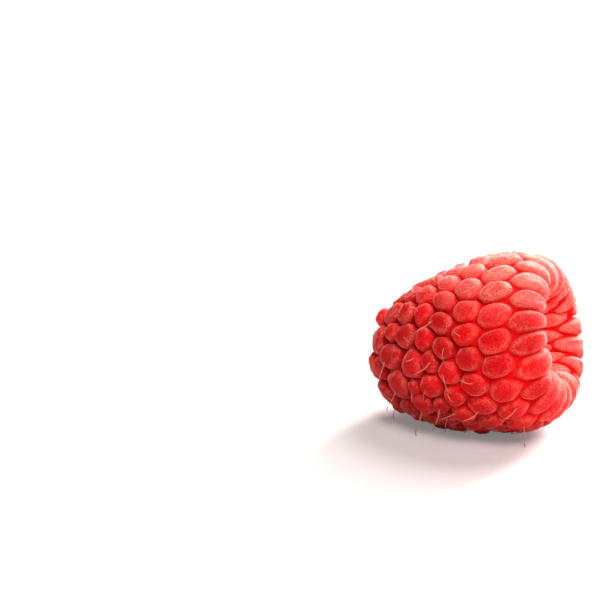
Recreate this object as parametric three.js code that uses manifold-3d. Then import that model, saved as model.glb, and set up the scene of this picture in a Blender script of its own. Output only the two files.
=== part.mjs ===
// A picked red raspberry: a thimble of fused drupelets round the hollow that its core left,
// lying on its side as it was put down. Millimetres, +Z up; +X runs from the tip to the mouth.
// The origin is on the surface that it lies on, under the middle of the fruit.
import * as THREE from "three";
import { ConvexHull } from "three/addons/math/ConvexHull.js";
import { mergeVertices } from "three/addons/utils/BufferGeometryUtils.js";
import Module from "manifold-3d";

const wasm = await Module();
wasm.setup();

// The fruit grew as one piece, so it is one solid. Its own axis runs from the tip to the mouth.
const PITCH = THREE.MathUtils.degToRad(16); // how far the mouth end is raised as it lies
const MOUTH_LEAN = 0.045; // shift away from the tip, per mm of height, of what is at the mouth
const LEAN_FROM = 21; // how far from the tip the whole lean is reached
const PRESSED = 0.5; // how far its own weight flattens the drupelets that it lies on

// The seat is the line that the drupelets stand on, as [distance from the tip, radius] points:
// from the tip up the outside, over the rim, and down the wall of the hollow to its floor.
const SEAT = [
  [1.35, 0],
  [1.6, 2.05],
  [2.4, 3.95],
  [4.3, 5.65],
  [7.6, 7],
  [11.6, 7.95],
  [15.4, 8.45],
  [17.9, 8.15],
  [19.6, 7.3],
  [20.4, 6.3],
  [20, 5.5],
  [18.4, 5.2],
  [15.4, 5],
  [12.6, 4.6],
  [10, 3.8],
  [8.2, 2.4],
  [7.6, 0],
];

// Rows from the tip, over the rim and into the hollow. at is the distance along the seat from
// the tip, count how many go round, turn the angle of the first in degrees, and out how far a
// drupelet stands out in mm. uneven scales the variation within the row.
const ROWS = [
  { name: "tip", at: 0, count: 1, turn: 0, out: 1.3, uneven: 0.4 },
  { name: "crown", at: 2.6, count: 5, turn: 30, out: 1.3, uneven: 0.9 },
  { name: "blunt", at: 5, count: 10, turn: 24, out: 1.35, uneven: 1.1 },
  { name: "nose", at: 7.4, count: 14, turn: 11, out: 1.35, uneven: 1.2 },
  { name: "lower", at: 9.8, count: 17, turn: 18, out: 1.35, uneven: 1.2 },
  { name: "middle", at: 11.9, count: 19, turn: 16, out: 1.3, uneven: 1.2 },
  { name: "upper", at: 14.1, count: 20, turn: 15, out: 1.35, uneven: 1 },
  { name: "wide", at: 16.8, count: 21, turn: 1, out: 1.35, uneven: 0.9 },
  { name: "shoulder", at: 19.6, count: 21, turn: 7, out: 1.4, uneven: 0.7 },
  { name: "rim", at: 22.9, count: 20, turn: 5, out: 1.4, uneven: 0.5 },
  { name: "lip", at: 27.6, count: 20, turn: 5, out: 1, uneven: 0.4 },
  { name: "ridge", at: 31.5, count: 15, turn: 4, out: 0.5, uneven: 0.5 },
  { name: "socket", at: 35.2, count: 9, turn: 10, out: 0.35, uneven: 0.5 },
  { name: "floor", at: Infinity, count: 1, turn: 0, out: 0.3, uneven: 0 },
];
const WANDER = 0.34; // mm that a drupelet may stray along the seat from its row
const SIDLE = 0.13; // share of its step that a drupelet may stray around the fruit
const SWELL = 0.14; // share by which a drupelet may stand out more or less

// The dome of a drupelet, from its top out to the crease round it, as [share of the way to the
// crease, share of the height]. Two drupelets meet a little above the seat, and three at it.
const DOME = [
  [0.42, 0.93],
  [0.78, 0.66],
];
const SADDLE = 0.24;

// A repeatable number from -1 to 1 for one trait of one drupelet.
function vary(item, trait) {
  const wave = Math.sin(item * 12.9898 + trait * 78.233) * 43758.5453;
  return 2 * (wave - Math.floor(wave)) - 1;
}

const seatLine = new THREE.SplineCurve(SEAT.map(([along, radius]) => new THREE.Vector2(radius, along)));
const seatLength = seatLine.getLength();

// The point at a height over the seat, in the fruit's own axes, where X is its axis.
function overSeat(distance, angle, height) {
  const share = THREE.MathUtils.clamp(distance / seatLength, 0, 1);
  const foot = seatLine.getPointAt(share);
  const run = seatLine.getTangentAt(share);
  const radius = Math.max(foot.x + height * run.y, 0);
  const along = foot.y - height * run.x;
  return new THREE.Vector3(along, radius * Math.cos(angle), radius * Math.sin(angle));
}

// Every drupelet's place on the seat and how far it stands out. The first and the last are on
// the axis, so they have no angle.
function placesOf(rows) {
  const places = [];
  for (const row of rows) {
    for (let i = 0; i < row.count; i++) {
      const item = places.length;
      const onAxis = row.count === 1;
      const stray = onAxis ? 0 : row.uneven;
      const step = (2 * Math.PI) / row.count;
      places.push({
        onAxis,
        at: Math.min(row.at, seatLength) + WANDER * stray * vary(item, 1),
        angle: THREE.MathUtils.degToRad(row.turn) + step * (i + SIDLE * stray * vary(item, 2)),
        out: row.out * (1 + SWELL * row.uneven * vary(item, 3)),
      });
    }
  }
  return places;
}

// Which drupelets touch: the seat is spread over a ball, and the hull of the places on the ball
// joins each place to its neighbours. Gives the threes that meet at a pit.
function threesOf(places) {
  const order = new Map();
  const spread = places.map((place, index) => {
    const polar = (Math.PI * place.at) / seatLength;
    const round = Math.sin(polar);
    const point = new THREE.Vector3(
      -Math.cos(polar),
      round * Math.cos(place.angle),
      round * Math.sin(place.angle),
    );
    order.set(point, index);
    return point;
  });
  return new ConvexHull().setFromPoints(spread).faces.map((face) => {
    const corners = [];
    for (let edge = face.edge; corners.length < 3; edge = edge.next) {
      corners.push(order.get(edge.head().point));
    }
    return corners;
  });
}

// An angle moved by whole turns to be next to another one.
function near(angle, reference) {
  return angle - 2 * Math.PI * Math.round((angle - reference) / (2 * Math.PI));
}

// The spot on the seat in the middle of some drupelets.
function middleOf(group) {
  const angled = group.filter((place) => !place.onAxis);
  const reference = angled[0].angle;
  const turns = angled.map((place) => near(place.angle, reference));
  return {
    at: group.reduce((sum, place) => sum + place.at, 0) / group.length,
    angle: turns.reduce((sum, turn) => sum + turn, 0) / turns.length,
  };
}

// The whole skin as one closed mesh. Pits and creases are shared between the drupelets that meet
// there, and each drupelet closes over its own outline with two rings and a top.
function skinOf(places) {
  const positions = [];
  const triangles = [];
  const shared = new Map();
  const addVertex = (at, angle, height) => {
    positions.push(...overSeat(at, angle, height).toArray());
    return positions.length / 3 - 1;
  };
  const shareVertex = (members, height) => {
    const key = [...members].sort((a, b) => a - b).join(" ");
    if (!shared.has(key)) {
      const spot = middleOf(members.map((index) => places[index]));
      shared.set(key, { ...spot, vertex: addVertex(spot.at, spot.angle, height) });
    }
    return shared.get(key);
  };

  // Round each drupelet, from one neighbour to the next.
  const after = places.map(() => new Map());
  for (const [a, b, c] of threesOf(places)) {
    after[a].set(b, c);
    after[b].set(c, a);
    after[c].set(a, b);
  }

  places.forEach((place, index) => {
    const outline = [];
    const first = after[index].keys().next().value;
    let neighbour = first;
    do {
      const next = after[index].get(neighbour);
      const low = Math.min(place.out, places[neighbour].out);
      outline.push(shareVertex([index, neighbour], SADDLE * low));
      outline.push(shareVertex([index, neighbour, next], 0));
      neighbour = next;
    } while (neighbour !== first);

    const count = outline.length;
    const rings = DOME.map(([share, lift]) =>
      outline.map((spot) => {
        const at = place.at + share * (spot.at - place.at);
        const turn = near(spot.angle, place.angle);
        const angle = place.onAxis ? turn : place.angle + share * (turn - place.angle);
        return addVertex(at, angle, lift * place.out);
      }),
    );
    rings.push(outline.map((spot) => spot.vertex));
    const top = addVertex(place.at, place.angle, place.out);
    for (let i = 0; i < count; i++) {
      const j = (i + 1) % count;
      triangles.push(top, rings[0][i], rings[0][j]);
      for (let ring = 0; ring + 1 < rings.length; ring++) {
        const [inner, outer] = [rings[ring], rings[ring + 1]];
        triangles.push(inner[i], outer[i], outer[j], inner[i], outer[j], inner[j]);
      }
    }
  });

  const geometry = new THREE.BufferGeometry();
  geometry.setAttribute("position", new THREE.Float32BufferAttribute(positions, 3));
  geometry.setIndex(triangles);
  return geometry;
}

// The mouth isn't quite square to the axis: what is higher there stands a little further out.
function leanMouth(geometry) {
  const position = geometry.attributes.position;
  for (let i = 0; i < position.count; i++) {
    const share = THREE.MathUtils.clamp(position.getX(i) / LEAN_FROM, 0, 1);
    position.setX(i, position.getX(i) + MOUTH_LEAN * position.getZ(i) * share ** 1.5);
  }
  return geometry;
}

// A closed geometry as a solid for cutting.
function solidOf(geometry) {
  const bare = geometry.clone();
  bare.deleteAttribute("normal");
  bare.deleteAttribute("uv");
  const merged = mergeVertices(bare, 1e-4);
  return new wasm.Manifold(
    new wasm.Mesh({
      numProp: 3,
      vertProperties: new Float32Array(merged.attributes.position.array),
      triVerts: new Uint32Array(merged.index.array),
    }),
  );
}

// A solid back as a geometry.
function geometryOf(solid) {
  const mesh = solid.getMesh();
  const geometry = new THREE.BufferGeometry();
  geometry.setAttribute("position", new THREE.BufferAttribute(mesh.vertProperties, 3));
  geometry.setIndex(new THREE.BufferAttribute(mesh.triVerts, 1));
  return geometry;
}

// Lays the fruit on its side, flattens the drupelets that it rests on, and puts it on the origin.
function layDown(geometry) {
  geometry.rotateY(-PITCH);
  geometry.computeBoundingBox();
  const wide = 60;
  const below = new THREE.BoxGeometry(wide, wide, wide);
  below.translate(0, 0, geometry.boundingBox.min.z + PRESSED - wide / 2);
  const lying = geometryOf(solidOf(geometry).subtract(solidOf(below)));
  lying.computeBoundingBox();
  const { min, max } = lying.boundingBox;
  lying.translate(-(min.x + max.x) / 2, -(min.y + max.y) / 2, -min.z);
  lying.computeVertexNormals();
  return lying;
}

const flesh = new THREE.MeshStandardMaterial({ color: 0xd81a26, roughness: 0.55, metalness: 0 });
const raspberry = new THREE.Mesh(layDown(leanMouth(skinOf(placesOf(ROWS)))), flesh);
raspberry.name = "raspberry";

const part = new THREE.Group();
part.add(raspberry);
export default part;
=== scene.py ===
import math

import bpy
import numpy as np
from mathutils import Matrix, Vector


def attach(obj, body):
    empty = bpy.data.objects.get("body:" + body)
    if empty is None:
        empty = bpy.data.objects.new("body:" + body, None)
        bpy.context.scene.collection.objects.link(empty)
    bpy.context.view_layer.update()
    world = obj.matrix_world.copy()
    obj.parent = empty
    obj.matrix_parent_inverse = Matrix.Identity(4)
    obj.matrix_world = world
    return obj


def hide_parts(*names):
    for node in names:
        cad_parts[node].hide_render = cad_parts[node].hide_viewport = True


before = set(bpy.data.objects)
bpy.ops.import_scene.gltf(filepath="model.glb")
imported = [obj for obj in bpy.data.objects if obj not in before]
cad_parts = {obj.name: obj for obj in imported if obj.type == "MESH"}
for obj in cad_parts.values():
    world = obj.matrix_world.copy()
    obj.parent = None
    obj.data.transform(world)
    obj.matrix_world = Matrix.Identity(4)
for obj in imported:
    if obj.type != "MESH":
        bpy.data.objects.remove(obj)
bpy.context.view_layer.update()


# ---- The fruit ---------------------------------------------------------------------------------
# A picked raspberry: some 190 drupelets fused side by side into a thimble, open where the core
# was. It is soft, juicy red flesh under a thin skin with a bloom of fine down. It grew in rows
# round the core, is raised a little at the mouth, and lies on drupelets pressed flat by its weight.

MM = 0.001
PITCH = math.radians(16)  # how far the mouth end is raised as it lies
MOUTH_LEAN = 0.045  # what is higher at the mouth stands this much further out, per mm
LEAN_FROM = 21 * MM  # how far from the tip the whole lean is reached
PRESSED = 0.5 * MM  # how far its own weight flattens the drupelets that it lies on

# The line that the drupelets stand on, as [distance from the tip, radius] in mm: from the tip up
# the outside, over the rim, and down the wall of the hollow to its floor.
SEAT = [
    (1.35, 0), (1.6, 2.05), (2.4, 3.95), (4.3, 5.65), (7.6, 7), (11.6, 7.95), (15.4, 8.45),
    (17.9, 8.15), (19.6, 7.3), (20.4, 6.3), (20, 5.5), (18.4, 5.2), (15.4, 5), (12.6, 4.6),
    (10, 3.8), (8.2, 2.4), (7.6, 0),
]

# Rows as (mm along the seat from the tip, how many, turn of the first in degrees, how far they
# stand out in mm, unevenness).
ROWS = [
    (0, 1, 0, 1.3, 0.4),
    (2.6, 5, 30, 1.3, 0.9),
    (5, 10, 24, 1.35, 1.1),
    (7.4, 14, 11, 1.35, 1.2),
    (9.8, 17, 18, 1.35, 1.2),
    (11.9, 19, 16, 1.3, 1.2),
    (14.1, 20, 15, 1.35, 1),
    (16.8, 21, 1, 1.35, 0.9),
    (19.6, 21, 7, 1.4, 0.7),
    (22.9, 20, 5, 1.4, 0.5),
    (27.6, 20, 5, 1, 0.4),
    (31.5, 15, 4, 0.5, 0.5),
    (35.2, 9, 10, 0.35, 0.5),
    (99, 1, 0, 0.3, 0),
]
WANDER = 0.34  # mm that a drupelet may stray along the seat from its row
SIDLE = 0.13  # share of its step that it may stray around the fruit
SWELL = 0.14  # share by which it may stand out more or less


def vary(item, trait):
    """A repeatable number from -1 to 1 for one trait of one drupelet."""
    wave = math.sin(item * 12.9898 + trait * 78.233) * 43758.5453
    return 2 * (wave - math.floor(wave)) - 1


def smooth_line(points, steps):
    """A smooth line through points, as many short steps between each two of them."""
    points = np.array(points, float)
    ends = np.vstack([2 * points[0] - points[1], points, 2 * points[-1] - points[-2]])
    line = []
    for i in range(len(points) - 1):
        a, b, c, d = ends[i : i + 4]
        for t in np.arange(steps) / steps:
            slope, bend = (c - a) / 2, 2 * a - 5 * b + 4 * c - d
            line.append(b + slope * t + bend / 2 * t**2 + (3 * (b - c) + d - a) / 2 * t**3)
    return np.array(line + [points[-1]])


seat = smooth_line(SEAT, 24)
seat_run = np.concatenate([[0], np.cumsum(np.linalg.norm(np.diff(seat, axis=0), axis=1))])
SEAT_LENGTH = seat_run[-1]
REACH = SEAT_LENGTH / math.pi * MM  # the size of the ball on which the drupelets are laid out

# Each drupelet is its place along the seat in mm, its angle, how far it stands out, and its tone.
drupelets = []
for at, count, turn, out, uneven in ROWS:
    for i in range(count):
        item = len(drupelets)
        stray = 0 if count == 1 else uneven
        place = min(at, SEAT_LENGTH) + WANDER * stray * vary(item, 1)
        angle = math.radians(turn) + 2 * math.pi / count * (i + SIDLE * stray * vary(item, 2))
        drupelets.append((place, angle, out * (1 + SWELL * uneven * vary(item, 3)), vary(item, 4)))
drupelets = np.array(drupelets)
polar = math.pi * drupelets[:, 0] / SEAT_LENGTH
on_ball = np.column_stack(
    [
        -np.cos(polar),
        np.sin(polar) * np.cos(drupelets[:, 1]),
        np.sin(polar) * np.sin(drupelets[:, 1]),
    ]
)


def points_mesh(name, places, **traits):
    """A mesh of bare points with a number, or a direction, for each trait."""
    mesh = bpy.data.meshes.new(name)
    mesh.from_pydata([tuple(p) for p in places], [], [])
    for label, values in traits.items():
        values = np.array(values, np.float32)
        kind, field = ("FLOAT", "value") if values.ndim == 1 else ("FLOAT_VECTOR", "vector")
        layer = mesh.attributes.new(label, kind, "POINT")
        layer.data.foreach_set(field, values.ravel())
    made = bpy.data.objects.new(name, mesh)
    bpy.context.collection.objects.link(made)
    return made


def line_curve(name, line):
    """A line of [distance along the axis, radius] points as a flat curve, the radius along X."""
    curve = bpy.data.curves.new(name, "CURVE")
    curve.dimensions = "3D"
    spline = curve.splines.new("POLY")
    spline.points.add(len(line) - 1)
    for point, (along, radius) in zip(spline.points, line):
        point.co = (radius, along, 0, 1)
    made = bpy.data.objects.new(name, curve)
    bpy.context.collection.objects.link(made)
    return made


def new_tree(name, **inputs):
    """A geometry tree with a geometry input and output and the named inputs, given as a socket
    kind or as a number to start from."""
    tree = bpy.data.node_groups.new(name, "GeometryNodeTree")
    face = tree.interface
    face.new_socket("Geometry", in_out="INPUT", socket_type="NodeSocketGeometry")
    for label, value in inputs.items():
        kind = value if isinstance(value, str) else "NodeSocketFloat"
        socket = face.new_socket(label.replace("_", " "), in_out="INPUT", socket_type=kind)
        if not isinstance(value, str):
            socket.default_value = value
    face.new_socket("Geometry", in_out="OUTPUT", socket_type="NodeSocketGeometry")
    return tree, tree.nodes.new("NodeGroupInput").outputs


def put(tree, kind, *inputs, **settings):
    """Adds a node with its settings. Inputs fill its live sockets in order: an output is joined,
    None leaves the socket alone, and anything else is its value."""
    node = tree.nodes.new(kind)
    for name, value in settings.items():
        setattr(node, name, value)
    for socket, value in zip([s for s in node.inputs if s.enabled], inputs):
        if isinstance(value, bpy.types.NodeSocket):
            tree.links.new(value, socket)
        elif value is not None:
            socket.default_value = value
    return node


def maths(tree, operation, *inputs):
    return put(tree, "ShaderNodeMath", *inputs, operation=operation).outputs[0]


def vectors(tree, operation, *inputs):
    node = put(tree, "ShaderNodeVectorMath", *inputs, operation=operation)
    return next(s for s in node.outputs if s.enabled)


def between(tree, value, low, high):
    """A value spread from 0 at the low end to 1 at the high one, with soft ends."""
    return put(
        tree, "ShaderNodeMapRange", value, low, high, 0.0, 1.0, interpolation_type="SMOOTHSTEP"
    ).outputs[0]


def trait(tree, name, kind="FLOAT"):
    node = put(tree, "GeometryNodeInputNamedAttribute", name, data_type=kind)
    return next(s for s in node.outputs if s.enabled)


def grown(name, source, tree, **values):
    """Runs a tree on an object and gives the result as a plain piece. The source is removed."""
    modifier = source.modifiers.new("grow", "NODES")
    modifier.node_group = tree
    for socket in tree.interface.items_tree:
        label = socket.name.replace(" ", "_")
        if socket.item_type == "SOCKET" and socket.in_out == "INPUT" and label in values:
            modifier[socket.identifier] = values[label]
    graph = bpy.context.evaluated_depsgraph_get()
    mesh = bpy.data.meshes.new_from_object(source.evaluated_get(graph))
    source.modifiers.remove(modifier)
    bpy.data.objects.remove(source)
    mesh.name = name
    made = bpy.data.objects.new(name, mesh)
    bpy.context.collection.objects.link(made)
    return made


# The drupelets are laid out on a ball. The hull of their places says which ones touch, its dual
# gives each a cell, and each cell is raised into a pillow with sharp creases round it.
tree, given = new_tree(
    "drupelets",
    Seat="NodeSocketObject",
    Reach=REACH,
    Shoulder=0.5,
    Shoulder_inset=1.03,
    Crown=0.75,
    Crown_inset=0.56,
    Peak=1.15,
    Tight=0.1,
    Fused=0.1,
    Rim_fused=0.25,
    Fullness=1.45,
    Dent=0.5,
    Waver=0.07,
    Lump=0.3,
    Finish="NodeSocketMaterial",
)
places = given["Geometry"]
here = put(tree, "GeometryNodeInputPosition").outputs[0]
hull = put(tree, "GeometryNodeConvexHull", places).outputs[0]
nearest = put(tree, "GeometryNodeSampleNearest", places, None, domain="POINT").outputs[0]
for name in ("stand", "tone"):
    value = put(
        tree, "GeometryNodeSampleIndex", places, trait(tree, name), nearest, domain="POINT"
    ).outputs[0]
    hull = put(
        tree, "GeometryNodeStoreNamedAttribute", hull, None, name, value, domain="POINT"
    ).outputs[0]
cells = put(tree, "GeometryNodeDualMesh", hull).outputs[0]
cells = put(
    tree, "GeometryNodeSetPosition", cells, None, vectors(tree, "NORMALIZE", here)
).outputs[0]
raised = cells
top = None
for step in ("Shoulder", "Crown"):
    rise = maths(tree, "MULTIPLY", trait(tree, "stand"), given[step])
    rise = maths(tree, "DIVIDE", rise, given["Reach"])
    grew = put(tree, "GeometryNodeExtrudeMesh", raised, top, None, rise, True, mode="FACES").outputs
    top = grew["Top"]
    inset = given[step + " inset"]
    raised = put(
        tree, "GeometryNodeScaleElements", grew["Mesh"], top, inset, domain="FACE"
    ).outputs[0]

# Edges on the ball are the creases and stay sharp. Those up to the shoulder are a little tight.
ON_BALL, TO_SHOULDER = 1.002, 1.09  # how far they reach from its middle, where its radius is 1
ends = put(tree, "GeometryNodeInputMeshEdgeVertices")
far = maths(
    tree,
    "MAXIMUM",
    vectors(tree, "LENGTH", ends.outputs["Position 1"]),
    vectors(tree, "LENGTH", ends.outputs["Position 2"]),
)
crease = maths(tree, "MULTIPLY", maths(tree, "LESS_THAN", far, TO_SHOULDER), given["Tight"])
crease = maths(tree, "MAXIMUM", maths(tree, "LESS_THAN", far, ON_BALL), crease)
pillows = put(tree, "GeometryNodeSubdivisionSurface", raised, 2, crease, 0.0).outputs[0]

# Each point of a pillow is a direction on the ball and a height over it. Slow noise makes the
# creases waver, and the height is kept as the trait "lift", 0 in a crease and 1 at a crown. A
# quicker noise makes the pillows lumpy, and those of a high tone have a dent in the crown.
WAVES, LUMPS = 6.0, 16.0  # scales of the two noises, over the ball
DENTED, DENT_FROM = (0.1, 0.9), 0.72  # the tones that have a dent, and the lift where it starts
waver = put(tree, "ShaderNodeTexNoise", here, WAVES, 1.0, 0.5)
tilt = vectors(tree, "SUBTRACT", waver.outputs["Color"], (0.5, 0.5, 0.5))
tilt = vectors(tree, "SCALE", tilt, given["Waver"])
toward = vectors(tree, "NORMALIZE", vectors(tree, "ADD", vectors(tree, "NORMALIZE", here), tilt))
height = maths(tree, "SUBTRACT", vectors(tree, "LENGTH", here), 1.0)
height = maths(tree, "MAXIMUM", maths(tree, "MULTIPLY", height, given["Reach"]), 0.0)
lift = maths(tree, "DIVIDE", maths(tree, "DIVIDE", height, trait(tree, "stand")), given["Peak"])
lift = maths(tree, "MINIMUM", lift, 1.0)
pillows = put(
    tree, "GeometryNodeStoreNamedAttribute", pillows, None, "lift", lift, domain="POINT"
).outputs[0]
lift = trait(tree, "lift")
full = maths(tree, "POWER", maths(tree, "SUBTRACT", 1.0, lift), given["Fullness"])
full = maths(tree, "SUBTRACT", 1.0, full)
lump = put(tree, "ShaderNodeTexNoise", here, LUMPS, 1.0, 0.5)
lump = maths(tree, "SUBTRACT", lump.outputs[0], 0.5)
lump = maths(tree, "MULTIPLY", lump, given["Lump"])
full = maths(tree, "MULTIPLY", full, maths(tree, "ADD", 1.0, lump))
dent = maths(tree, "MULTIPLY", between(tree, trait(tree, "tone"), *DENTED), given["Dent"])
dent = maths(tree, "MULTIPLY", between(tree, lift, DENT_FROM, 1.0), dent)
full = maths(tree, "SUBTRACT", full, maths(tree, "MULTIPLY", dent, 0.5))

# Off the ball and on to the seat of the fruit. What changes from the tip to the floor of the
# hollow does so between two shares of the way: the tip is a darker red as painted shade,
# the rim is more fused, and the pale bloom of down, partly painted sheen, goes over the fold of
# the rim ("fold") but stays out of the hollow ("outer").
TIP_SHADE_ENDS = (0.1, 0.5)
RIM_STARTS, RIM_ENDS = (0.42, 0.56), (0.66, 0.8)
FOLD_STARTS, BLOOM_AND_SHEEN_ENDS = (0.57, 0.65), (0.65, 0.74)
apart = put(tree, "ShaderNodeSeparateXYZ", toward).outputs
share = maths(
    tree, "DIVIDE", maths(tree, "ARCCOSINE", maths(tree, "MULTIPLY", apart[0], -1.0)), math.pi
)
at_rim = maths(
    tree,
    "MULTIPLY",
    between(tree, share, *RIM_STARTS),
    maths(tree, "SUBTRACT", 1.0, between(tree, share, *RIM_ENDS)),
)
# Painted shade: 1 at the tip, falling to 0 by half the way, to darken the red there.
tip_shade = maths(tree, "SUBTRACT", 1.0, between(tree, share, *TIP_SHADE_ENDS))
outer = maths(tree, "SUBTRACT", 1.0, between(tree, share, *BLOOM_AND_SHEEN_ENDS))
fold = maths(tree, "MULTIPLY", between(tree, share, *FOLD_STARTS), outer)
fused = maths(
    tree, "ADD", given["Fused"], maths(tree, "MULTIPLY", at_rim, given["Rim fused"])
)
height = maths(tree, "MULTIPLY", full, maths(tree, "SUBTRACT", 1.0, fused))
height = maths(tree, "MULTIPLY", maths(tree, "ADD", height, fused), trait(tree, "stand"))
line = put(tree, "GeometryNodeObjectInfo", given["Seat"]).outputs["Geometry"]
foot = put(
    tree, "GeometryNodeSampleCurve", line, None, share, mode="FACTOR", use_all_curves=True
).outputs
stand_at = put(tree, "ShaderNodeSeparateXYZ", foot["Position"]).outputs
run = put(tree, "ShaderNodeSeparateXYZ", foot["Tangent"]).outputs
radius = maths(tree, "ADD", stand_at[0], maths(tree, "MULTIPLY", run[1], height))
along = maths(tree, "SUBTRACT", stand_at[1], maths(tree, "MULTIPLY", run[0], height))
angle = maths(tree, "ARCTAN2", apart[2], apart[1])
final = put(
    tree,
    "ShaderNodeCombineXYZ",
    along,
    maths(tree, "MULTIPLY", radius, maths(tree, "COSINE", angle)),
    maths(tree, "MULTIPLY", radius, maths(tree, "SINE", angle)),
).outputs[0]
fruit = pillows
for name, value in (("tip_shade", tip_shade), ("fold", fold), ("outer", outer)):
    fruit = put(
        tree, "GeometryNodeStoreNamedAttribute", fruit, None, name, value, domain="POINT"
    ).outputs[0]
fruit = put(tree, "GeometryNodeSetPosition", fruit, None, final).outputs[0]
fruit = put(tree, "GeometryNodeSetShadeSmooth", fruit).outputs[0]
fruit = put(tree, "GeometryNodeRealizeInstances", fruit).outputs[0]
fruit = put(tree, "GeometryNodeSetMaterial", fruit, None, given["Finish"]).outputs[0]
put(tree, "NodeGroupOutput", fruit)

flesh = bpy.data.materials.new("raspberry flesh")
flesh.use_nodes = True
shade = flesh.node_tree
skin = shade.nodes["Principled BSDF"]
skin.inputs["Roughness"].default_value = 0.68
skin.inputs["Specular IOR Level"].default_value = 0.1
skin.inputs["Subsurface Weight"].default_value = 0.55
skin.inputs["Subsurface Radius"].default_value = (1.0, 0.06, 0.04)
skin.inputs["Subsurface Scale"].default_value = 0.0018
skin.inputs["Sheen Weight"].default_value = 0.4
skin.inputs["Sheen Roughness"].default_value = 0.35
skin.inputs["Sheen Tint"].default_value = (1, 0.58, 0.5, 1)


def blended(tree, share, under, over):
    """Two colours mixed, the second over the first."""
    node = put(tree, "ShaderNodeMix", data_type="RGBA", clamp_factor=True)
    for label, value in (("Factor", share), ("A", under), ("B", over)):
        socket = next(s for s in node.inputs if s.name == label and s.enabled)
        if isinstance(value, bpy.types.NodeSocket):
            tree.links.new(value, socket)
        else:
            socket.default_value = value
    return next(s for s in node.outputs if s.enabled)


def mark(tree, name):
    """A number that was stored on the mesh, for a material."""
    return put(tree, "ShaderNodeAttribute", attribute_name=name).outputs["Fac"]


# The crease red is painted glow of light through the flesh. The deep red is random tone and also
# painted shade towards the tip, and the speck colour is the dark specks and also painted shade in the
# creases near the tip.
CREASE_GLOW = (0.85, 0.001, 0.004, 1)
BODY = (0.84, 0.001, 0.004, 1)
DEEP = (0.46, 0.001, 0.003, 1)
# The pale pink of the down, also used as painted sheen.
BLOOM_AND_SHEEN = (1.0, 0.32, 0.25, 1)
SPECK_AND_SHADE = (0.36, 0.001, 0.003, 1)
GRAIN, DOTS, PATCHES, BENDS = 8500.0, 5200.0, 1100.0, 700.0  # scales of the noises, per metre
TOPSIDE_SHEEN = (14.2 * MM, 19.5 * MM)  # the heights between which the pale bloom, partly painted sheen, thickens towards the top
WRINKLES, BENT = 36.0, 16.0  # how closely the fine arcs follow each other, and how much they bend
ROUGHNESS_DEEP = 0.06 * MM

spot = put(shade, "ShaderNodeTexCoord").outputs["Object"]
lift = mark(shade, "lift")
tip_shade = mark(shade, "tip_shade")
# The drupelet's own random tone, with the painted shade towards the tip added to it.
tone = maths(shade, "ADD", mark(shade, "tone"), tip_shade)
grain = put(shade, "ShaderNodeTexNoise", spot, GRAIN, 3.0, 0.65).outputs[0]
patch = put(shade, "ShaderNodeTexNoise", spot, PATCHES, 3.0, 0.6).outputs[0]
dots = put(shade, "ShaderNodeTexNoise", spot, DOTS, 1.0, 0.5).outputs[0]
bends = put(shade, "ShaderNodeTexNoise", spot, BENDS).outputs[0]
bends = maths(shade, "MULTIPLY", bends, BENT)
arcs = maths(shade, "SINE", maths(shade, "ADD", maths(shade, "MULTIPLY", lift, WRINKLES), bends))

# Red that is deeper on some drupelets at random, and darker towards the tip as painted shade.
# The creases are a brighter red, painted glow of light through the flesh, that turns to a dark
# painted shade in the creases near the tip.
tone_and_tip_shade = maths(shade, "MULTIPLY", between(shade, tone, -0.6, 1.2), 0.8)
colour = blended(shade, tone_and_tip_shade, BODY, DEEP)
crease = blended(shade, tip_shade, CREASE_GLOW, SPECK_AND_SHADE)
colour = blended(shade, between(shade, lift, 0.02, 0.25), crease, colour)

# The bloom of down, partly painted sheen: a patchy pale ring round each drupelet where the pillow
# turns away, painted sheen at its grazing edge, and a thicker pale coat on the top and the rim,
# painted sheen of the light from above and behind.
ring = maths(shade, "MULTIPLY", between(shade, lift, 0.2, 0.5), 0.5)
crown = maths(shade, "MULTIPLY", between(shade, lift, 0.55, 1.0), 0.5)
ring = maths(shade, "SUBTRACT", ring, crown)
ring = maths(shade, "MULTIPLY", ring, between(shade, patch, 0.3, 0.65))
ring = maths(shade, "MULTIPLY", ring, between(shade, grain, 0.38, 0.62))
# Painted sheen: the pale coat thickens with height towards the top and over the fold of the rim, but
# not in the hollow.
high = put(shade, "ShaderNodeSeparateXYZ", spot).outputs["Z"]
frost_and_sheen = maths(shade, "MULTIPLY", between(shade, high, *TOPSIDE_SHEEN), mark(shade, "outer"))
frost_and_sheen = maths(shade, "MAXIMUM", frost_and_sheen, mark(shade, "fold"))
frost_and_sheen = maths(shade, "MULTIPLY", frost_and_sheen, between(shade, lift, 0.08, 0.4))
coat = maths(shade, "MULTIPLY_ADD", arcs, 0.22, 0.88)
coat = maths(shade, "MULTIPLY", coat, between(shade, grain, 0.2, 0.72))
bloom_and_sheen = maths(shade, "ADD", ring, maths(shade, "MULTIPLY", frost_and_sheen, coat))
colour = blended(shade, maths(shade, "MULTIPLY", bloom_and_sheen, 0.9), colour, BLOOM_AND_SHEEN)

# Dark specks where the skin shows between the down, fewer of them under the thicker pale coat of
# bloom and painted sheen.
specks = maths(shade, "MULTIPLY", between(shade, dots, 0.45, 0.6), between(shade, lift, 0.55, 0.9))
shown = maths(shade, "MULTIPLY_ADD", frost_and_sheen, -0.45, 0.6)
colour = blended(shade, maths(shade, "MULTIPLY", specks, shown), colour, SPECK_AND_SHADE)
shade.links.new(colour, skin.inputs["Base Color"])

folds = maths(shade, "MULTIPLY", maths(shade, "MULTIPLY", arcs, patch), 0.5)
rough = put(shade, "ShaderNodeBump")
rough.inputs["Strength"].default_value = 0.6
rough.inputs["Distance"].default_value = ROUGHNESS_DEEP
shade.links.new(maths(shade, "ADD", grain, folds), rough.inputs["Height"])
shade.links.new(rough.outputs[0], skin.inputs["Normal"])

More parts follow.
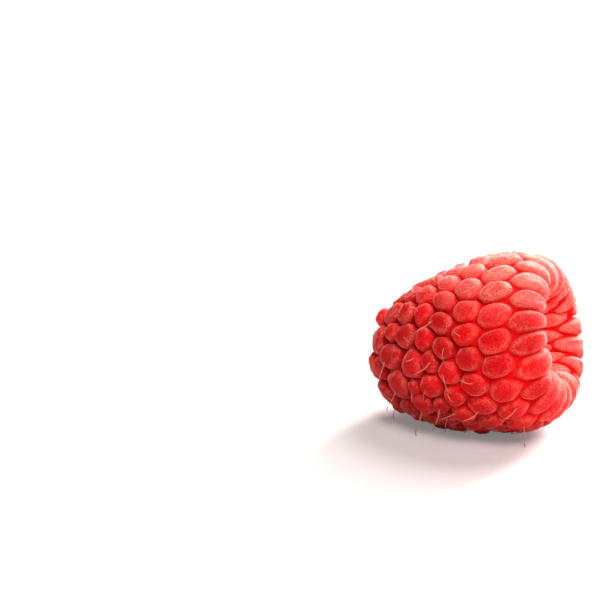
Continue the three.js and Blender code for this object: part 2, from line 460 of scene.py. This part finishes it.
seat_line = line_curve("seat line", seat * MM)
sown = points_mesh("drupelet places", on_ball, stand=drupelets[:, 2] * MM, tone=drupelets[:, 3])
berry = grown("berry", sown, tree, Seat=seat_line, Finish=flesh)
bpy.data.objects.remove(seat_line)

# It lies down: the mouth leans, the fruit is pitched, and what is lowest is pressed flat.
spots = np.empty(len(berry.data.vertices) * 3, np.float32)
berry.data.vertices.foreach_get("co", spots)
spots = spots.reshape(-1, 3).astype(float)


def laid(points):
    """Points in the fruit's own axes as they lie, before they settle on the surface."""
    x, y, z = points.T
    x = x + MOUTH_LEAN * z * np.clip(x / LEAN_FROM, 0, 1) ** 1.5
    return np.column_stack(
        [x * math.cos(PITCH) - z * math.sin(PITCH), y, x * math.sin(PITCH) + z * math.cos(PITCH)]
    )


lying = laid(spots)
low, high = lying.min(0), lying.max(0)
settle = -np.array([(low[0] + high[0]) / 2, (low[1] + high[1]) / 2, low[2] + PRESSED])
lying += settle
lying[:, 2] = np.maximum(lying[:, 2], 0)
berry.data.vertices.foreach_set("co", lying.astype(np.float32).ravel())
berry.data.update()

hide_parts("raspberry")
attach(berry, "root")


# ---- The styles --------------------------------------------------------------------------------
# The dry styles of the flower, one to a drupelet where it hasn't dropped off: stiff tan hairs a
# millimetre or two long with a darker tip. Each grew from near the top of its drupelet, and now
# lies across its neighbours or stands off them.

STYLE_LONG, STYLE_THICK = 2.1 * MM, 0.1 * MM
LENGTHS = 0.4  # share by which a style may be longer or shorter
STRAY = (0.5, 0.6)  # mm that its foot may be from the top of its drupelet, along and around
LEAN, CURL = (0.8, 0.55), (0.5, 0.9)  # radians, and how much more or less
STYLED_ROWS = 9  # the rows round the rim and in the hollow have lost theirs
BARE = -0.45  # of the numbers from -1 to 1, those below this have no style
CLEAR = 0.8 * MM  # how near the surface it lies on a style may grow
ABOVE = 3 * MM  # from how far above its foot the skin is looked for
ROOTED = 0.06 * MM  # how deep a style goes into the skin
STYLE_POINTS, STYLE_SIDES = 9, 5  # along it and round it


def on_seat(place):
    """The point on the seat line at a place, and the direction square to it, outwards."""
    step = 0.05
    at = [np.interp(place, seat_run, seat[:, axis]) for axis in (0, 1)]
    ahead = [np.interp(place + step, seat_run, seat[:, axis]) for axis in (0, 1)]
    run = np.array(ahead) - at
    run /= np.linalg.norm(run)
    return np.array(at), np.array([-run[1], run[0]])


# For each style: its foot, the directions out of the fruit and to its side, its length, and the
# angles that it leans over at its foot and curls by.
feet, traits = [], {"out": [], "side": [], "long": [], "lean": [], "curl": []}
styled = sum(row[1] for row in ROWS[:STYLED_ROWS])
for item, (place, angle, stand, _) in enumerate(drupelets[:styled]):
    place = max(place + STRAY[0] * vary(item, 7), 0.3)
    angle += STRAY[1] * vary(item, 8) / max(np.interp(place, seat_run, seat[:, 1]), 1)
    (along, radius), (lengthwise, outwards) = on_seat(place)
    ends = []
    for height in (stand, stand + 1):
        spread = radius + outwards * height
        x = along + lengthwise * height
        ends.append([x, spread * math.cos(angle), spread * math.sin(angle)])
    foot, above = laid(np.array(ends) * MM) + settle
    if vary(item, 9) < BARE or foot[2] < CLEAR:
        continue
    out = Vector(above - foot).normalized()
    side = Vector((vary(item, 10), vary(item, 11), vary(item, 12) - 0.4))
    side = (side - out * side.dot(out)).normalized()
    feet.append(foot)
    traits["out"].append(out)
    traits["side"].append(side)
    traits["long"].append(STYLE_LONG * (1 + LENGTHS * vary(item, 13)))
    traits["lean"].append(LEAN[0] + LEAN[1] * vary(item, 14))
    traits["curl"].append(CURL[0] + CURL[1] * vary(item, 15))

tree, given = new_tree(
    "styles",
    Fruit="NodeSocketObject",
    Thick=STYLE_THICK,
    Tip=0.45,
    Wiggle=0.1,
    Finish="NodeSocketMaterial",
)
out, side = trait(tree, "out", "FLOAT_VECTOR"), trait(tree, "side", "FLOAT_VECTOR")
here = put(tree, "GeometryNodeInputPosition").outputs[0]
above = vectors(tree, "ADD", here, vectors(tree, "SCALE", out, ABOVE))
fruit = put(tree, "GeometryNodeObjectInfo", given["Fruit"]).outputs["Geometry"]
down = vectors(tree, "SCALE", out, -1.0)
struck = put(tree, "GeometryNodeRaycast", fruit, None, above, down, 2 * ABOVE).outputs["Hit Position"]
root = vectors(tree, "ADD", struck, vectors(tree, "SCALE", out, -ROOTED))
rooted = put(
    tree,
    "GeometryNodeStoreNamedAttribute",
    given["Geometry"],
    None,
    "root",
    root,
    data_type="FLOAT_VECTOR",
    domain="POINT",
).outputs[0]
straight = put(tree, "GeometryNodeCurvePrimitiveLine", (0, 0, 0), (0, 0, MM)).outputs[0]
straight = put(tree, "GeometryNodeResampleCurve", straight, None, STYLE_POINTS).outputs[0]
hairs = put(tree, "GeometryNodeInstanceOnPoints", rooted, None, straight).outputs[0]
hairs = put(tree, "GeometryNodeRealizeInstances", hairs).outputs[0]

# A style turns steadily from its lean towards its side, with a slight wiggle square to both.
share = put(tree, "GeometryNodeSplineParameter").outputs["Factor"]
lean, curl, long = trait(tree, "lean"), trait(tree, "curl"), trait(tree, "long")
turned = maths(tree, "ADD", lean, maths(tree, "MULTIPLY", curl, share))
scale = maths(tree, "DIVIDE", long, curl)
up = maths(tree, "SUBTRACT", maths(tree, "SINE", turned), maths(tree, "SINE", lean))
over = maths(tree, "SUBTRACT", maths(tree, "COSINE", lean), maths(tree, "COSINE", turned))
sway = maths(tree, "SINE", maths(tree, "ADD", maths(tree, "MULTIPLY", share, 5.0), turned))
sway = maths(tree, "MULTIPLY", maths(tree, "MULTIPLY", sway, share), given["Wiggle"])
rise = vectors(tree, "SCALE", out, maths(tree, "MULTIPLY", up, scale))
reach = vectors(tree, "SCALE", side, maths(tree, "MULTIPLY", over, scale))
across = vectors(tree, "CROSS_PRODUCT", out, side)
swing = vectors(tree, "SCALE", across, maths(tree, "MULTIPLY", sway, long))
spot = vectors(tree, "ADD", trait(tree, "root", "FLOAT_VECTOR"), rise)
spot = vectors(tree, "ADD", vectors(tree, "ADD", spot, reach), swing)
hairs = put(tree, "GeometryNodeSetPosition", hairs, None, spot).outputs[0]
hairs = put(
    tree, "GeometryNodeStoreNamedAttribute", hairs, None, "along", share, domain="POINT"
).outputs[0]
radius = maths(tree, "DIVIDE", given["Thick"], 2.0)
ring = put(tree, "GeometryNodeCurvePrimitiveCircle", STYLE_SIDES, radius).outputs[0]

# It tapers to a slightly thicker tip, and what would go through the surface lies on it.
taper = maths(tree, "SUBTRACT", 1.0, maths(tree, "MULTIPLY", share, given["Tip"]))
taper = maths(tree, "ADD", taper, maths(tree, "MULTIPLY", between(tree, share, 0.8, 0.95), 0.3))
hairs = put(tree, "GeometryNodeCurveToMesh", hairs, ring, taper, True).outputs[0]
apart = put(tree, "ShaderNodeSeparateXYZ", here).outputs
kept_up = maths(tree, "MAXIMUM", apart[2], 0.0)
level = put(tree, "ShaderNodeCombineXYZ", apart[0], apart[1], kept_up).outputs[0]
hairs = put(tree, "GeometryNodeSetPosition", hairs, None, level).outputs[0]
hairs = put(tree, "GeometryNodeSetShadeSmooth", hairs).outputs[0]
hairs = put(tree, "GeometryNodeRealizeInstances", hairs).outputs[0]
hairs = put(tree, "GeometryNodeSetMaterial", hairs, None, given["Finish"]).outputs[0]
put(tree, "NodeGroupOutput", hairs)

dry = bpy.data.materials.new("dry style")
dry.use_nodes = True
shade = dry.node_tree
skin = shade.nodes["Principled BSDF"]
skin.inputs["Roughness"].default_value = 0.5
skin.inputs["Specular IOR Level"].default_value = 0.4
TAN, BROWN = (0.72, 0.22, 0.13, 1), (0.10, 0.035, 0.02, 1)
STAINS = 2500.0  # scale of the noise, per metre
spot = put(shade, "ShaderNodeTexCoord").outputs["Object"]
stain = put(shade, "ShaderNodeTexNoise", spot, STAINS).outputs[0]
browned = maths(shade, "ADD", between(shade, mark(shade, "along"), 0.55, 1.0), -0.25)
browned = maths(shade, "ADD", browned, maths(shade, "MULTIPLY", stain, 0.5))
colour = blended(shade, browned, TAN, BROWN)
shade.links.new(colour, skin.inputs["Base Color"])

sown = points_mesh("style places", feet, **traits)
styles = grown("styles", sown, tree, Fruit=berry, Finish=dry)

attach(styles, "root")


# ---- Floor, light and camera -------------------------------------------------------------------
# A plain white surface under a broad soft light from above, with a pale room round it. The camera
# sees both of them whiter than they are as lights on the fruit, and the surface a little warmer
# near the fruit, as it is where light comes through red flesh.

floor_mesh = bpy.data.meshes.new("floor")
EDGE = 1.5  # from the middle of the floor to its sides
corners = [(-EDGE, -EDGE, 0), (EDGE, -EDGE, 0), (EDGE, EDGE, 0), (-EDGE, EDGE, 0)]
floor_mesh.from_pydata(corners, [], [(0, 1, 2, 3)])
floor = bpy.data.objects.new("floor", floor_mesh)
bpy.context.collection.objects.link(floor)
paper = bpy.data.materials.new("white paper")
paper.use_nodes = True
shade = paper.node_tree
matte = shade.nodes["Principled BSDF"]
matte.inputs["Roughness"].default_value = 0.9
matte.inputs["Emission Color"].default_value = (1, 1, 1, 1)
seen = put(shade, "ShaderNodeLightPath").outputs["Is Camera Ray"]
spot = put(shade, "ShaderNodeTexCoord").outputs["Object"]
away = between(shade, vectors(shade, "LENGTH", spot), 50 * MM, 400 * MM)
glow = maths(shade, "MULTIPLY", seen, maths(shade, "MULTIPLY_ADD", away, 0.35, 0.2))
shade.links.new(glow, matte.inputs["Emission Strength"])
THROWN, WARM, PLAIN = (0.5, 0.5, 0.5, 1), (0.56, 0.49, 0.47, 1), (0.56, 0.56, 0.56, 1)
tint = blended(shade, seen, THROWN, blended(shade, away, WARM, PLAIN))
shade.links.new(tint, matte.inputs["Base Color"])
floor_mesh.materials.append(paper)


def soft_light(name, place, power):
    """A round soft lamp that is pointed at the fruit."""
    light = bpy.data.lights.new(name, "AREA")
    light.shape = "DISK"
    light.size = 0.2
    light.energy = power
    lamp = bpy.data.objects.new(name, light)
    bpy.context.collection.objects.link(lamp)
    lamp.location = place
    aim = Vector((0, 0, 0.01)) - Vector(place)
    lamp.rotation_euler = aim.to_track_quat("-Z", "Y").to_euler()
    lamp.visible_camera = False


sky = bpy.data.lights.new("overhead", "SUN")
sky.energy = 4.0
sky.angle = math.radians(45)
overhead = bpy.data.objects.new("overhead", sky)
bpy.context.collection.objects.link(overhead)
overhead.rotation_euler = Vector((0.32, 0.62, 1.0)).to_track_quat("Z", "Y").to_euler()
soft_light("front fill", (0.15, -0.25, 0.4), 2.0)
soft_light("back rim", (0.12, 0.33, 0.2), 5.5)

room = bpy.data.worlds.new("room")
room.use_nodes = True
air = room.node_tree
white = air.nodes["Background"]
seen = put(air, "ShaderNodeLightPath").outputs["Is Camera Ray"]
ROOM_THROWN, ROOM_SEEN = 0.08, 1.0
dim = put(air, "ShaderNodeMapRange", seen, 0.0, 1.0, ROOM_THROWN, ROOM_SEEN).outputs[0]
white.inputs["Color"].default_value = (1, 1, 1, 1)
air.links.new(dim, white.inputs["Strength"])
bpy.context.scene.world = room
bpy.context.scene.view_settings.view_transform = "Standard"

AZIMUTH, ELEVATION = math.radians(20), math.radians(20)
AWAY = 300 * MM  # from the camera to the fruit
TAKEN_IN = 64.31 * MM  # the width that the frame takes in at the fruit
FRUIT_RIGHT, FRUIT_LOW = 18.76 * MM, 3.75 * MM  # how far the fruit is from the middle of the frame
back = Vector(
    (
        math.sin(AZIMUTH) * math.cos(ELEVATION),
        -math.cos(AZIMUTH) * math.cos(ELEVATION),
        math.sin(ELEVATION),
    )
)
right = Vector((math.cos(AZIMUTH), math.sin(AZIMUTH), 0))
upward = back.cross(right)
middle = Vector((0, 0, 10.07 * MM))  # of the fruit
aim = middle - right * FRUIT_RIGHT + upward * FRUIT_LOW
lens = bpy.data.cameras.new("camera")
lens.sensor_width = 36
lens.lens = lens.sensor_width * AWAY / TAKEN_IN
lens.clip_start, lens.clip_end = 0.01, 10
camera = bpy.data.objects.new("camera", lens)
bpy.context.collection.objects.link(camera)
camera.location = aim + back * AWAY
camera.rotation_euler = back.to_track_quat("Z", "Y").to_euler()
bpy.context.scene.camera = camera
